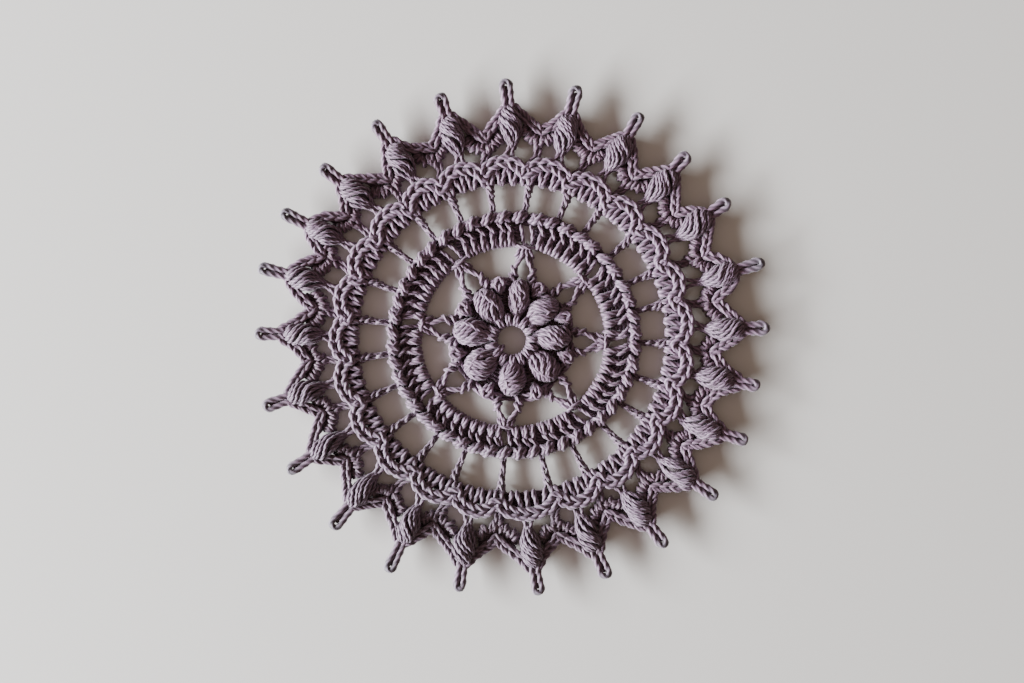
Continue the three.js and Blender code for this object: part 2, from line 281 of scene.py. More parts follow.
class Skein:
    """The lengths of yarn that make one piece."""

    def __init__(self, name, seed, tone=0.0, step=STEP):
        self.name = name
        self.step = step
        self.random = np.random.default_rng(seed)
        self.tone = tone
        self.strands = []

    def jitter(self, size, shape=None):
        return self.random.normal(0, size, shape)

    def add(self, points, radius=HALF_YARN, tone=0.0, wobble=0.06):
        """One strand through the points. It wanders a little, and never dips into the table."""
        points = np.asarray(points, float)
        points = points + self.jitter(wobble, points.shape)
        path = smooth(drawn_in(points), self.step)
        path[:, 2] = np.maximum(path[:, 2], radius)
        tone = self.tone + tone + self.jitter(0.09)
        self.strands.append((path, radius, tone))


class BakeSheet:
    """Lays each strand's skin flat in a square, strip beside strip, with none on another."""

    MARGIN = 0.5
    SPARE = 1.06

    def __init__(self, length):
        self.width = math.pi * YARN
        area = length * self.SPARE * (self.width + 2 * self.MARGIN)
        self.side = math.sqrt(area) + 3 * self.width
        self.x = self.y = self.MARGIN
        self.starts = None

    def start_strips(self, lengths):
        """Finds room for a strip of each length."""
        starts = []
        for length in lengths:
            if self.y + length + self.MARGIN > self.side:
                self.y = self.MARGIN
                self.x += self.width + 2 * self.MARGIN
            starts.append((self.x, self.y))
            self.y += length + 2 * self.MARGIN
        self.starts = np.array(starts)

    def lay(self, around, along):
        """Where places round and along the strips just started come on the sheet."""
        shape = (-1,) + (1,) * (around.ndim - 1)
        x = self.starts[:, 0].reshape(shape) + around * self.width
        y = self.starts[:, 1].reshape(shape) + along
        return np.stack([x, y], -1) / self.side


def frames(path):
    """The way that each strand runs, and two directions square to it that don't turn."""
    way = np.gradient(path, axis=1)
    way /= np.linalg.norm(way, axis=2)[..., None]
    along_no_strand = [0.13, 0.21, 0.97]
    normal = np.cross(way[:, 0], along_no_strand)
    normals = np.empty_like(path)
    for i in range(path.shape[1]):
        normal = normal - (normal * way[:, i]).sum(1)[:, None] * way[:, i]
        normal /= np.linalg.norm(normal, axis=1)[:, None]
        normals[:, i] = normal
    return way, normals, np.cross(way, normals)


def skin_points(path, radius, run, start):
    """Rings of points round each strand, turned on as its plies are, then its two ends."""
    way, normals, other = frames(path)
    corner = np.arange(SIDES)
    pitch = PLY_PITCH * np.sqrt(radius / HALF_YARN)
    turn = 2 * math.pi * (corner / SIDES + (run / pitch)[..., None])
    turn = turn + start[:, None, None]
    swell = np.where(corner % SIDES_A_PLY == 0, 1.0, GROOVE)
    taper = np.ones(path.shape[1])
    taper[[0, -1]] = END["thickness"]
    reach = radius[..., None] * swell * taper[:, None]
    outward = np.cos(turn)[..., None] * normals[:, :, None]
    outward = outward + np.sin(turn)[..., None] * other[:, :, None]
    rings = path[:, :, None] + reach[..., None] * outward
    first = path[:, 0] - way[:, 0] * radius * END["cap"]
    last = path[:, -1] + way[:, -1] * radius * END["cap"]
    caps = np.stack([first, last], 1)
    return np.concatenate([rings.reshape(len(path), -1, 3), caps], 1)


def skin_faces(first, length):
    """Faces of four corners along each strand and of three at its ends, where the first is
    each strand's first point and the length is its count of rings."""
    corner = np.arange(SIDES)
    side = (corner + 1) % SIDES
    ring = first[:, None, None] + (np.arange(length - 1) * SIDES)[None, :, None]
    following = ring + SIDES
    quads = np.stack([ring + corner, ring + side, following + side, following + corner], -1)
    near = first[:, None]
    far = near + (length - 1) * SIDES
    cap = near + length * SIDES
    head = np.stack(np.broadcast_arrays(cap, near + side, near + corner), -1)
    tail = np.stack(np.broadcast_arrays(cap + 1, far + corner, far + side), -1)
    return quads.reshape(-1, 4), np.concatenate([head, tail], 1).reshape(-1, 3)


def skin_maps(run, sheet):
    """The yarn's own map and the baking one, for the long faces and then for the end ones.
    The yarn's own goes from 0 to 1 round a strand, and by 1 for each 10 mm along it."""
    corner = np.arange(SIDES)
    around = np.stack([corner, corner + 1, corner + 1, corner], -1) / SIDES
    along = np.stack([run[:, :-1], run[:, :-1], run[:, 1:], run[:, 1:]], -1)
    long_faces = np.broadcast_arrays(around[None, None], along[:, :, None])
    head_around = np.stack([corner + 0.5, corner + 1, corner], -1) / SIDES
    tail_around = np.stack([corner + 0.5, corner, corner + 1], -1) / SIDES
    around = np.concatenate([head_around, tail_around], 0)[None]
    cap_along = np.broadcast_to(np.array([0, 0.2, 0.2]), head_around.shape)
    tail_along = run[:, -1][:, None, None] - cap_along[None]
    head_along = np.broadcast_to(cap_along[None], tail_along.shape)
    along = np.concatenate([head_along, tail_along], 1)
    end_faces = (np.broadcast_to(around, along.shape), along)
    sheet.start_strips(run[:, -1])
    maps = []
    for around, along in (long_faces, end_faces):
        yarn_map = np.stack([around, along / 10], -1)
        maps.append((yarn_map.reshape(-1, 2), sheet.lay(around, along).reshape(-1, 2)))
    return maps


def tubes(strands):
    """The plied skin of the strands: lists of points, faces of four corners, end faces of
    three, the maps of both, and each point's tone and painted shade. Strands of one length are
    made together."""
    places, quads, ends, quad_maps, end_maps, tones, darks = ([] for _ in range(7))
    random = np.random.default_rng(PLY_SEED)
    sheet = BakeSheet(sum(run_along(path)[-1] + 1 for path, _, _ in strands))
    count = 0
    for length in sorted({len(path) for path, _, _ in strands}):
        group = [strand for strand in strands if len(strand[0]) == length]
        path, radius, tone = (np.array(values) for values in zip(*group))
        run = run_along(path)
        start = random.uniform(0, 2 * math.pi, len(group))
        places.append(skin_points(path, radius[:, None], run, start).reshape(-1, 3))
        each = length * SIDES + 2
        long_faces, end_faces = skin_faces(count + each * np.arange(len(group)), length)
        quads.append(long_faces)
        ends.append(end_faces)
        long_maps, cap_maps = skin_maps(run, sheet)
        quad_maps.append(long_maps)
        end_maps.append(cap_maps)
        tones.append(np.repeat(tone, each))
        # Painted shade: each strand darkens towards its ends, where it tucks under others.
        from_end = np.minimum(run, run[:, -1:] - run)
        dark = END["dark"] * np.exp(-((from_end / END["dark_reach"]) ** 2))
        dark = np.concatenate([np.repeat(dark, SIDES, 1), dark[:, [0, -1]]], 1)
        darks.append(dark.ravel())
        count += each * len(group)
    return places, quads, ends, quad_maps, end_maps, tones, darks


class Relief:
    """How high the doily's top is and how low its underside, over a grid of small squares."""

    CELL = 0.5
    HALF = 120
    NEAR = (-0.75, -0.25, 0.25, 0.75)

    def __init__(self, skeins):
        across = round(2 * self.HALF / self.CELL)
        top = np.full((across, across), -np.inf)
        low = np.full((across, across), np.inf)
        stations = np.concatenate([path for skein in skeins for path, _, _ in skein.strands])
        for dx in self.NEAR:
            for dy in self.NEAR:
                rise = math.sqrt(max(0.0, HALF_YARN**2 - dx**2 - dy**2))
                cells = self.cells(stations + np.array([dx, dy, 0]))
                np.maximum.at(top, cells, stations[:, 2] + rise)
                np.minimum.at(low, cells, stations[:, 2] - rise)
        shifts = [(i, j) for i in (-1, 0, 1) for j in (-1, 0, 1)]
        self.top = np.max([np.roll(top, shift, (0, 1)) for shift in shifts], axis=0)
        self.low = np.min([np.roll(low, shift, (0, 1)) for shift in shifts], axis=0)

    def cells(self, places):
        index = ((places[:, :2] + self.HALF) / self.CELL).astype(int)
        return index[:, 0], index[:, 1]

    def depth(self, places):
        """How far inside each point is, from the nearer of the top and the underside."""
        cells = self.cells(places)
        return np.minimum(self.top[cells] - places[:, 2], places[:, 2] - self.low[cells])


def strand(skein, turns, radii, heights, **rest):
    """One strand through places given by angle, radius and height."""
    skein.add(at(turns, radii, heights), **rest)


def inner_strand(skein, turns, radii, heights, **rest):
    """The same in the inner rounds."""
    skein.add(at_inner(turns, radii, heights), **rest)


def hoop(skein, place, radius, height, tone, spacing=3):
    """A flat cord right round the doily, under the stitches that it carries."""
    turns = np.arange(0, 363, spacing)
    skein.add(place(turns, radius, height), tone=tone)


def chain(skein, path, width, link, radius, tone=0.0):
    """A braid of chain stitches: each link is two legs that come up out of the link before,
    part, and go under the next one. A cord fills the braid from below, painted darker as shade."""
    links = max(1, round(path.length / link))
    size = path.length / links
    half = width / 2 - radius
    up = np.array([-0.75, 0.25, 0.425, 0.15, -0.7])
    for i in range(links):
        for side in (-1, 1):
            along = size * (i + np.array([-0.5, -0.08, 0.38, 0.82, 1.12]))
            aside = side * half * np.array([0.08, 0.5, 0.92, 1.0, 0.62])
            skein.add(path.place(along, aside, up), radius=radius, tone=tone)
    along = np.linspace(0, path.length, max(4, round(path.length / 1.6)))
    # The cord's higher tone is painted shade.
    skein.add(path.place(along, 0, -1.2), radius=radius, tone=tone + 0.4)


def bead(skein, centre, direction, length, top, tone=0.0, radius=HALF_YARN):
    """A short arch of yarn, as the top of a tight stitch shows."""
    share = np.array([-0.5, -0.4, 0, 0.4, 0.5])
    rise = np.array([0.3, 0.78, 1, 0.78, 0.3])
    points = np.asarray(centre, float) * (1 - UP) + at(direction, 1.0) * (share * length)[:, None]
    points[:, 2] = (top - radius) * rise
    skein.add(points, radius=radius, tone=tone)


def rope(skein, path, radius, pitch, strand_radius):
    """Two strands laid round each other along a path."""
    turns = path.length / pitch
    along = np.linspace(0, path.length, max(6, int(8 * turns)))
    for start in (0, math.pi):
        turn = start + 2 * math.pi * along / pitch
        points = path.place(along, radius * np.cos(turn), radius * np.sin(turn))
        skein.add(points, radius=strand_radius, wobble=0.03)


def bundle(skein, form, start, end, width, turning, wrap):
    """A puff or a petal: loops of yarn side by side over an egg from start to end. They slant
    round it by the turning, and by the wrap more where they close over its outer end."""
    radius, height = form["radius"], form["height"]
    way = end - start
    right = np.array([way[1], -way[0], 0.0])
    right /= np.linalg.norm(right)
    half_width = width / 2 - radius
    half_height = height / 2 - radius
    middles = (form["root"], height / 2, height / 2, height * 0.42)

    def wind(share, turn, reach, wobble):
        middle = np.interp(share, (0, 0.45, 0.8, 1), middles)
        points = start + way * share[:, None]
        points = points + right * (reach * half_width * np.cos(turn))[:, None]
        points[:, 2] = np.maximum(middle + reach * half_height * np.sin(turn), radius)
        skein.add(points, radius=radius, tone=form["tone"], wobble=wobble)

    bases = [180 * (j + 0.5) / form["over"] for j in range(form["over"])]
    bases += [180 + 180 * (j + 0.5) / form["under"] for j in range(form["under"])]
    share = np.array([-0.05, 0.05, 0.14, 0.26, 0.4, 0.52, 0.64, 0.74, 0.83, 0.9, 0.96, 1.0])
    size = np.interp(share, *form["egg"])
    closing = np.clip((share - 0.4) / 0.56, 0, 1) ** 1.3
    for base in bases:
        turn = np.radians(base + turning * (share - 0.45) + skein.jitter(7.0))
        turn = turn + np.radians(wrap) * closing
        wind(share, turn, size * (1 + skein.jitter(0.07)), 0.14)
    share = np.array([0.22, 0.3, 0.42, 0.54, 0.66, 0.78, 0.88, 0.94])
    proud = np.array([0.8, 0.98, 1.06, 1.08, 1.08, 1.06, 0.98, 0.8])
    reach = np.interp(share, *form["egg"]) * proud
    for j in range(form["crossing"]):
        base = 90 + 34 * (j - 1) + skein.jitter(9.0)
        wind(share, np.radians(base - turning * 0.8 * (share - 0.55)), reach, 0.1)


def collar():
    """Wraps round the middle hole, in pairs, and the knob that stands into it."""
    skein = Skein("collar", seed=11)
    stitches = COLLAR["stitches"]
    for i in range(stitches):
        middle = 360 * (i + 0.5) / stitches + skein.jitter(1.5)
        for side in (-1, 1):
            angle = middle + side * COLLAR["half_pair"]
            turns = angle + side * np.array([1.0, 1.0, 0.6, -0.4, -2.2, -3.2])
            radii = (9.4, 7.4, 6.7, 7.4, 9.4, 11.6)
            inner_strand(skein, turns, radii, (1.0, 1.2, 3.0, 5.0, 5.3, 4.0), tone=-0.1)
    turns, radii = (226, 228, 232, 238, 242), (8.6, 6.4, 4.9, 4.6, 6.6)
    inner_strand(skein, turns, radii, (3.0, 4.6, 4.4, 3.2, 2.2), radius=1.0)
    turns, radii = (236, 237, 240, 246, 250), (9.4, 7.2, 5.8, 6.4, 8.6)
    inner_strand(skein, turns, radii, (3.0, 4.8, 4.6, 3.8, 3.0))
    return skein


def middle_coils():
    """The flat rounds that the petals stand on, given a dark tone as painted shade between them."""
    skein = Skein("middle_coils", seed=24, step=1.2)
    for radius in np.arange(COILS["from"], COILS["to"], COILS["apart"]):
        hoop(skein, at_inner, radius, COILS["height"], tone=0.6, spacing=7)
    return skein


def petals():
    """Eight fat bundles of loops. Each slants one way or the other by chance."""
    skein = Skein("petals", seed=12, step=0.8)
    for row in PETALS:
        slant = skein.random.choice((-1, 1))
        bundle(
            skein,
            PETAL,
            start=at_inner(row["petal"], row["from"] - 2.0),
            end=at_inner(row["petal"], row["to"] + 0.3),
            width=row["width"],
            turning=slant * skein.random.uniform(40, 90),
            wrap=slant * skein.random.uniform(60, 120),
        )
    return skein


def petal_knots():
    """The small knots between two petals' outer ends: two low strands across, three beads
    and a loop over them."""
    skein = Skein("petal_knots", seed=13, tone=0.1)
    for row, after in with_next(PETALS):
        half = turn_between(row["petal"], after["petal"]) / 2
        angle = row["petal"] + half
        turns = angle + half * 0.72 * np.array([-1, -0.5, 0, 0.5, 1])
        radii = (23.6, 24.2, 24.4, 24.2, 23.6)
        inner_strand(skein, turns, radii, (1.6, 3.4, 4.2, 3.4, 1.6), radius=1.0)
        radii = (25.4, 26.3, 26.6, 26.3, 25.4)
        inner_strand(skein, turns, radii, (1.4, 3.0, 3.6, 3.0, 1.4), radius=1.0)
        for offset, radius, lean in ((-4.2, 23.6, -30), (-0.5, 23.2, 10), (3.6, 23.9, 35)):
            centre = at_inner(angle + offset, radius)
            bead(skein, centre, angle + lean, length=5.2, top=6.0, radius=1.08)
        turns = angle + np.array([-1.5, -3.4, -3.0, 1.0, 3.6, 2.0])
        radii = (20.6, 22.6, 25.6, 27.0, 24.8, 21.4)
        inner_strand(skein, turns, radii, (3.0, 4.6, 5.0, 4.8, 5.0, 3.0), radius=1.05)
    return skein


def arms():
    """Two slack ropes from each petal, with a few wraps near their feet, that meet in a head
    of four beads."""
    skein = Skein("arms", seed=14, tone=0.1)
    for row in PETALS:
        head = row["head"]
        for side, foot in zip((-1, 1), row["feet"]):
            reach = turn_between(head, foot)
            route = Path(
                [
                    at_inner(head + reach, ARM["foot"], 2.2),
                    at_inner(head + 0.62 * reach, ARM["bend"], 2.6),
                    at_inner(head + 0.2 * reach, ARM["head"] - 1.4, 2.8),
                    at_inner(head + 0.05 * reach, ARM["head"] + 1.6, 2.0),
                ]
            )
            rope(skein, route, ARM["half"], ARM["pitch"] * side, ARM["strand"])
            for share in (0.1, 0.3):
                along = route.length * share + np.array([-2.0, -1.3, 0.0, 1.3, 2.0]) * side
                aside = np.array([-1.7, -1.25, 0.0, 1.25, 1.7])
                up = np.array([-1.0, 0.9, 1.7, 0.9, -1.0])
                skein.add(route.place(along, aside, up))
        for offset, lean in ((-2.3, 24), (-0.7, 10), (0.9, -14), (2.4, -30)):
            centre = at_inner(head, ARM["head"] + 0.2) + at(head + 90, offset)
            bead(skein, centre, head + lean, length=6.0, top=5.0 - 0.25 * abs(offset))
    return skein


def ring_inner(angle):
    """The tall ring's inner radius, less near an arm's head, and how near the next head is."""
    nearest = min(abs(turn_between(row["head"], angle)) for row in PETALS)
    drawn = max(0.0, 1 - nearest / TALL_RING["drawn_span"])
    return TALL_RING["inner"] - TALL_RING["drawn_in"] * drawn, nearest


def tall_ring(skein):
    """Posts in pairs round the inner chain, each closed at its top by a slanting wrap. Flat
    cords back them from arm to arm, and two posts grow from each arm's head."""
    posts = TALL_RING["posts"]
    post = {"radius": 1.08, "tone": 0.25}
    for i in range(posts):
        angle = 360 * i / posts + skein.jitter(0.35)
        inner, nearest = ring_inner(angle)
        if nearest < TALL_RING["clear"]:
            continue
        lean = skein.random.uniform(-1.3, 0.8)
        radii = inner + np.array([2.0, 0.4, 0.3, 1.9, 5.0, 7.8, 9.2])
        turns = angle + np.array([-0.9, -0.9, -0.8, -0.6, -0.1, 0.1, 0.3])
        turns = turns + lean * np.array([0, 0, 0, 0.1, 0.6, 1, 1])
        inner_strand(skein, turns, radii, (1.1, 1.4, 2.8, 4.0, 3.4, 2.3, 1.3), **post)
        radii = inner + np.array([2.0, 0.5, 0.4, 1.9, 4.4, 7.0])
        turns = angle + np.array([1.8, 1.8, 1.7, 1.4, 0.9, 0.5])
        turns = turns + lean * np.array([0, 0, 0, 0.1, 0.5, 0.9])
        inner_strand(skein, turns, radii, (1.1, 1.4, 2.6, 3.7, 2.9, 1.6), **post)
        # The slanting wrap's higher tone is painted shade below the ridge.
        radii = inner + np.array([10.8, 10.0, 8.3, 6.5, 5.4])
        turns = angle + lean + np.array([-2.1, -1.5, 0.1, 1.6, 2.2])
        inner_strand(skein, turns, radii, (2.0, 3.4, 3.8, 3.4, 1.8), tone=0.35)
    edge = Path([at(a, ring_inner(a)[0] + 1.3, 1.6) for a in np.arange(0, 361, 3)])
    skein.add(edge.place(np.linspace(0, edge.length, 160), 0, 0) + INNER_SHIFT, tone=0.1)
    for row, after in with_next(PETALS):
        head = row["head"]
        gap = turn_between(head, after["head"])
        for radius in (43.2, 44.9, 46.6, 48.3):
            inner_strand(skein, head + np.linspace(3.6, gap - 3.2, 12), radius, 1.1, tone=0.1)
        turns = head + np.array([-8.5, -5, 0, 4.5, 7.5])
        inner_strand(skein, turns, (41.4, 40.4, 39.9, 40.4, 41.4), (1.4, 3.2, 4.2, 3.4, 1.6))
        turns = head + np.array([-3.6, -2.6, -1.9, -1.2])
        inner_strand(skein, turns, (49.4, 46.6, 43.6, 41.0), (3.4, 3.2, 2.6, 2.2))
        turns = head + np.array([1.2, 2.9, 3.6, 4.0])
        inner_strand(skein, turns, (49.6, 46.4, 43.4, 41.2), (3.2, 3.4, 2.8, 2.0))


def ridge():
    """Lumps of three slanting arches side by side, the middle one highest, over flat cords.
    A strand that slants the other way crosses every second lump."""
    skein = Skein("ridge", seed=16)
    size = 360 / RIDGE["lumps"]
    for i in range(RIDGE["lumps"]):
        angle = size * (i + 0.5) + skein.jitter(0.3)
        top = skein.random.uniform(5.7, 6.1)
        slant = skein.random.uniform(0.8, 1.2)
        for aside, reach, drop in ((-1.7, 1.5, 1.6), (0.0, 2.1, 1.0), (1.7, 1.5, 1.7)):
            rise = top - drop
            radii = RIDGE["middle"] + reach * np.array([-1.0, -1.0, -0.6, 0.6, 1.0, 1.0])
            asides = aside + slant * np.array([-1.3, -1.25, -0.7, 0.7, 1.25, 1.3])
            heights = (1.2, rise - 1.5, rise, rise, rise - 1.5, 1.2)
            turns = angle + turn_over(asides, RIDGE["slant_at"])
            inner_strand(skein, turns, radii, heights, radius=1.16, tone=0.12)
        if i % 2:
            asides = np.array([3.3, 2.4, 0.2, -1.8, -2.9])
            turns = angle + turn_over(asides, RIDGE["slant_at"])
            heights = (1.6, top - 1.9, top - 0.95, top - 1.9, 1.8)
            inner_strand(skein, turns, (50.9, 51.2, 52.5, 54.0, 54.6), heights, radius=1.05)
    # The cords' higher tone is painted shade under the stitches.
    for radius in RIDGE["cords"]:
        hoop(skein, at_inner, radius, height=1.4, tone=0.5)
    return skein


def bars():
    """Two thin strands from the ridge to the band that part as they go, with three wraps."""
    skein = Skein("bars", seed=17, tone=0.2)
    for row in REPEATS:
        angle = row["bar"]
        lean = skein.random.uniform(-0.5, 0.5)
        for side in (-1, 1):
            radii = np.array([54.0, 56.0, 59.0, 62.4, 65.2, 67.4])
            aside = side * np.array([0.5, 0.62, 0.64, 0.8, 1.3, 1.6])
            turns = angle + lean * np.linspace(-1, 1, 6) + turn_over(aside, radii)
            strand(skein, turns, radii, (2.0, 2.4, 2.5, 2.8, 3.0, 1.8), radius=0.78)
        for radius, reach in ((64.8, 1.7), (62.6, 1.2), (58.4, 0.9)):
            aside = reach * np.array([-1.0, -0.7, 0.0, 0.7, 1.0])
            turns = angle + turn_over(aside, radius)
            radii = radius + np.array([1.7, 1.1, 0.0, -1.1, -1.7])
            strand(skein, turns, radii, (1.3, 3.0, 4.1, 3.1, 1.3), radius=0.8)
    return skein


def band_outer(angle):
    """The band's outer radius, which swells from each dip to a lobe."""
    for row, after in with_next(REPEATS):
        turn = turn_between(row["dip"], after["dip"])
        past = (angle - row["dip"]) % 360
        if past < turn:
            swell = math.sin(math.pi * past / turn) ** 0.6
            return mix(BAND["dip"], BAND["lobe"], swell)
    return BAND["dip"]


def band(skein, braid):
    """The scalloped band: short stitches, with a braid of chain over their outer ends."""
    route = []
    for row, after in with_next(REPEATS):
        turn = turn_between(row["dip"], after["dip"])
        posts = BAND["posts"]
        for j in range(posts):
            angle = row["dip"] + turn * (j + 0.5) / posts + skein.jitter(0.12)
            outer = max(BAND["least_end"], band_outer(angle) - BAND["post_end"])
            lean = (0.55 if j % 2 else -0.55) + skein.jitter(0.25)
            radii = (67.8, 66.5, 66.2, 67.6, outer, outer + 1.9)
            turns = angle + lean * np.array([-0.9, -0.9, -0.9, -0.6, 0.9, 1.2])
            strand(skein, turns, radii, (1.2, 1.8, 3.4, 4.1, 3.7, 2.0), radius=1.2, tone=0.1)
        for share in (0.0, 0.12, 0.3, 0.5, 0.7, 0.88):
            angle = row["dip"] + turn * share
            route.append(at(angle, band_outer(angle) - BAND["braid"] / 2, 4.5))
    route.append(route[0])
    chain(braid, Path(route), BAND["braid"], BAND["link"], radius=1.26, tone=-0.1)
    # The cords' higher tone is painted shade under the stitches.
    for radius in BAND["cords"]:
        hoop(skein, at, radius, height=1.0, tone=0.5)


def stems():
    """The strands that hold the puffs and the knots to the band."""
    skein = Skein("stems", seed=19, tone=0.2)
    for row in REPEATS:
        foot = turn_between(0, row["foot"])
        lean = turn_between(foot, row["puff"])
        for side in (-1, 1):
            turns = foot + lean * np.array([0, 0, 0.3, 0.8, 1])
            turns = turns + side * np.array([1.35, 1.25, 0.8, 0.56, 0.5])
            radii = (76.4, 77.8, 79.6, 82.0, 84.6)
            strand(skein, turns, radii, (1.8, 3.5, 3.4, 3.0, 2.8), radius=1.0)
        lean = turn_between(row["dip"], row["knot"])
        for side in (-1, 1):
            turns = row["dip"] + lean * np.array([0, 0.1, 0.5, 1, 1])
            turns = turns + side * np.array([1.3, 1.25, 0.75, 0.6, 0.8])
            radii = (71.4, 72.8, 75.4, 78.6, 82.0)
            strand(skein, turns, radii, (2.0, 4.3, 3.0, 2.6, 2.2), tone=0.2)
    return skein


def puffs():
    """The fat bundles of loops at the edge, one to each repeat, leaning towards its tip."""
    skein = Skein("puffs", seed=20, step=0.86)
    for row in REPEATS:
        lean = turn_between(row["puff"], row["tip"])
        slim = math.exp(-((turn_between(row["puff"], SLIM["turn"]) / SLIM["spread"]) ** 2))
        bundle(
            skein,
            PUFF,
            start=at(row["puff"] - lean / 4, row["puff_r"] - 9.4),
            end=at(row["puff"] + lean / 2, row["puff_r"] + 7.9),
            width=PUFF["width"] * (1 - 0.1 * slim) * skein.random.uniform(0.95, 1.03),
            turning=skein.random.uniform(80, 130) * (1 - 0.45 * slim),
            wrap=skein.random.uniform(100, 160) * (1 - 0.5 * slim),
        )
    return skein


def valley_ribs(skein, row, puff):
    """A short ribbed cord from a valley's knot towards one of the puffs beside it, with beads
    on it and low strands under it that close the gap to the edge's braid."""
    toward = turn_between(row["knot"], puff["puff"])
    shares = np.array([0.06, 0.3, 0.48, 0.62])
    below = np.array([7.2, 6.6, 5.0, 3.0])
    route = Path(at(row["knot"] + toward * shares, row["knot_r"] - below, 3.0))
    for along in np.arange(0.5, route.length + 0.6, 1.9):
        reach = skein.random.uniform(1.4, 1.9)
        asides = reach * np.array([-1.0, -0.95, 0.0, 0.95, 1.0]) + skein.jitter(0.3)
        alongs = along + skein.random.uniform(-0.8, 0.8) * np.array([-1, -0.8, 0, 0.8, 1])
        ups = np.array([-1.7, -0.3, 0.6, -0.3, -1.7])
        skein.add(route.place(alongs, asides, ups), radius=1.08, tone=0.15)
    for share in (0.15, 0.5, 0.85):
        centre = route.place(route.length * share, skein.jitter(0.5), 0.0)
        lean = skein.random.uniform(0, 180)
        bead(skein, centre, lean, length=3.4, top=4.6 + skein.jitter(0.2), radius=1.15, tone=0.15)
    outward = -math.copysign(1.0, toward)
    for aside in (0.2, 1.9, 3.5):
        alongs = np.linspace(-1.0, route.length + 0.7 * aside, 6)
        skein.add(route.place(alongs, outward * aside, -1.6), radius=1.1, tone=0.2)


def valley_knots():
    """Tight stitches in each valley between two puffs, under the edge's braid: low strands
    that fan out from the stem, ribs to both sides and two beads in the middle."""
    # The knots' higher tone is painted shade in the valleys.
    skein = Skein("valley_knots", seed=21, tone=0.5, step=0.8)
    for row, after in with_next(REPEATS):
        for aside in (-2.0, 0.0, 2.0):
            radii = row["knot_r"] - np.array([13.6, 10.5, 7.6, 5.0, 3.0])
            asides = aside * np.array([0.16, 0.4, 0.8, 1.1, 1.3])
            turns = row["knot"] + turn_over(asides, radii)
            strand(skein, turns, radii, (2.0, 1.6, 1.5, 1.6, 1.8), radius=1.1, tone=0.4)
        for puff in (row, after):
            valley_ribs(skein, row, puff)
        for below, aside in ((9.6, -0.9), (8.4, 1.1)):
            centre = at(row["knot"] + turn_over(aside, 82), row["knot_r"] - below)
            lean = skein.random.uniform(-50, 50)
            bead(skein, centre, row["knot"] + lean, length=3.8, top=4.2, radius=1.2)
    return skein


def edge_braid():
    """The braid that climbs from each valley, round the puff's shoulder, to the crossing
    under its picot."""
    skein = Skein("edge_braid", seed=22, tone=0.4)
    half = BRAID["width"] / 2
    root = turn_over(1.5, BRAID["crossing"])
    for i, row in enumerate(REPEATS):
        aside = turn_over(BRAID["hug"], row["puff_r"])
        leaning = row["puff"] + turn_between(row["puff"], row["tip"]) / 2
        for side, valley in ((-1, REPEATS[i - 1]), (1, row)):
            toward = turn_between(row["puff"], valley["knot"])
            slope = valley["knot_r"] * 0.6 + row["puff_r"] * 0.4
            route = [
                at(valley["knot"], valley["knot_r"] - half - 0.7, 3.3),
                at(row["puff"] + 0.8 * toward, slope - 0.9, 3.5),
                at(row["puff"] + side * aside, row["puff_r"] + BRAID["shoulder"], 4.0),
                at(leaning + side * root, BRAID["crossing"] + 1.2, 4.6),
            ]
            chain(skein, Path(route[::side]), BRAID["width"], BRAID["link"], radius=1.18)
    return skein


def picots():
    """A loop of thick twisted yarn beyond each puff, its two sides pressed together, with a
    strand low between them whose darker tone is painted shade."""
    skein = Skein("picots", seed=23, tone=0.35)
    for row in REPEATS:
        leaning = row["puff"] + turn_between(row["puff"], row["tip"]) * 0.5
        base = at(leaning, BRAID["crossing"] - 1.0, PICOT["root"])
        tip = at(row["tip"], row["tip_r"] - PICOT["strand"], PICOT["tip"])
        way = tip - base
        right = np.array([way[1], -way[0], 0]) / np.linalg.norm(way[:2])
        half = PICOT["half"] * skein.random.uniform(0.9, 1.15)
        shares = ((0.0, 1.1), (0.3, 0.95), (0.6, 1.0), (0.82, 1.15), (0.95, 0.9))
        left_side = [base + way * s - right * half * w for s, w in shares]
        right_side = [base + way * s + right * half * w for s, w in reversed(shares)]
        route = Path(left_side + [tip] + right_side, step=0.3)
        loop = route.place(np.linspace(0, route.length, 16), 0, 0)
        skein.add(loop, radius=PICOT["strand"], wobble=0.03)
        between = [base + way * s - 0.9 * UP for s in (0, 0.3, 0.6, 0.84)]
        # Its higher tone is painted shade in the gap.
        skein.add(between, radius=PICOT["inner_strand"], tone=0.4)
    return skein


def core_eggs():
    """The inner fill of each petal and puff: its middle, angle, width, length and height, and
    how high its middle is."""
    for row in PETALS:
        middle = at_inner(row["petal"], mix(row["from"], row["to"], 0.52))
        yield middle, row["petal"], row["width"] - 3.2, row["to"] - row["from"] - 2.4, 5.4, 4.1
    for row in REPEATS:
        yield at(row["puff"], row["puff_r"] + 0.4), row["puff"], PUFF["width"] - 2.8, 12, 5.8, 4.3


def cores():
    """Points and faces of the inner yarn that fills the puffs and petals under their loops."""
    places, faces = [], []
    rings, across = 8, 12
    for middle, angle, width, length, height, up in core_eggs():
        way, right = at(angle, 1.0), at(angle + 90, 1.0)
        start = len(places)
        places.append(middle - way * length / 2 + UP * up)
        for i in range(1, rings):
            lean = math.pi * i / rings
            for j in range(across):
                turn = 2 * math.pi * j / across
                along = -way * math.cos(lean) * length / 2
                aside = right * math.sin(lean) * math.cos(turn) * width / 2
                rise = UP * (up + math.sin(lean) * math.sin(turn) * height / 2)
                places.append(middle + along + aside + rise)
        places.append(middle + way * length / 2 + UP * up)
        for j in range(across):
            side = (j + 1) % across
            faces.append((start, start + 1 + j, start + 1 + side))
            for i in range(rings - 2):
                here = start + 1 + i * across
                faces.append((here + j, here + across + j, here + across + side, here + side))
            last = start + 1 + (rings - 2) * across
            faces.append((last + j, last + across, last + side))
    return places, faces


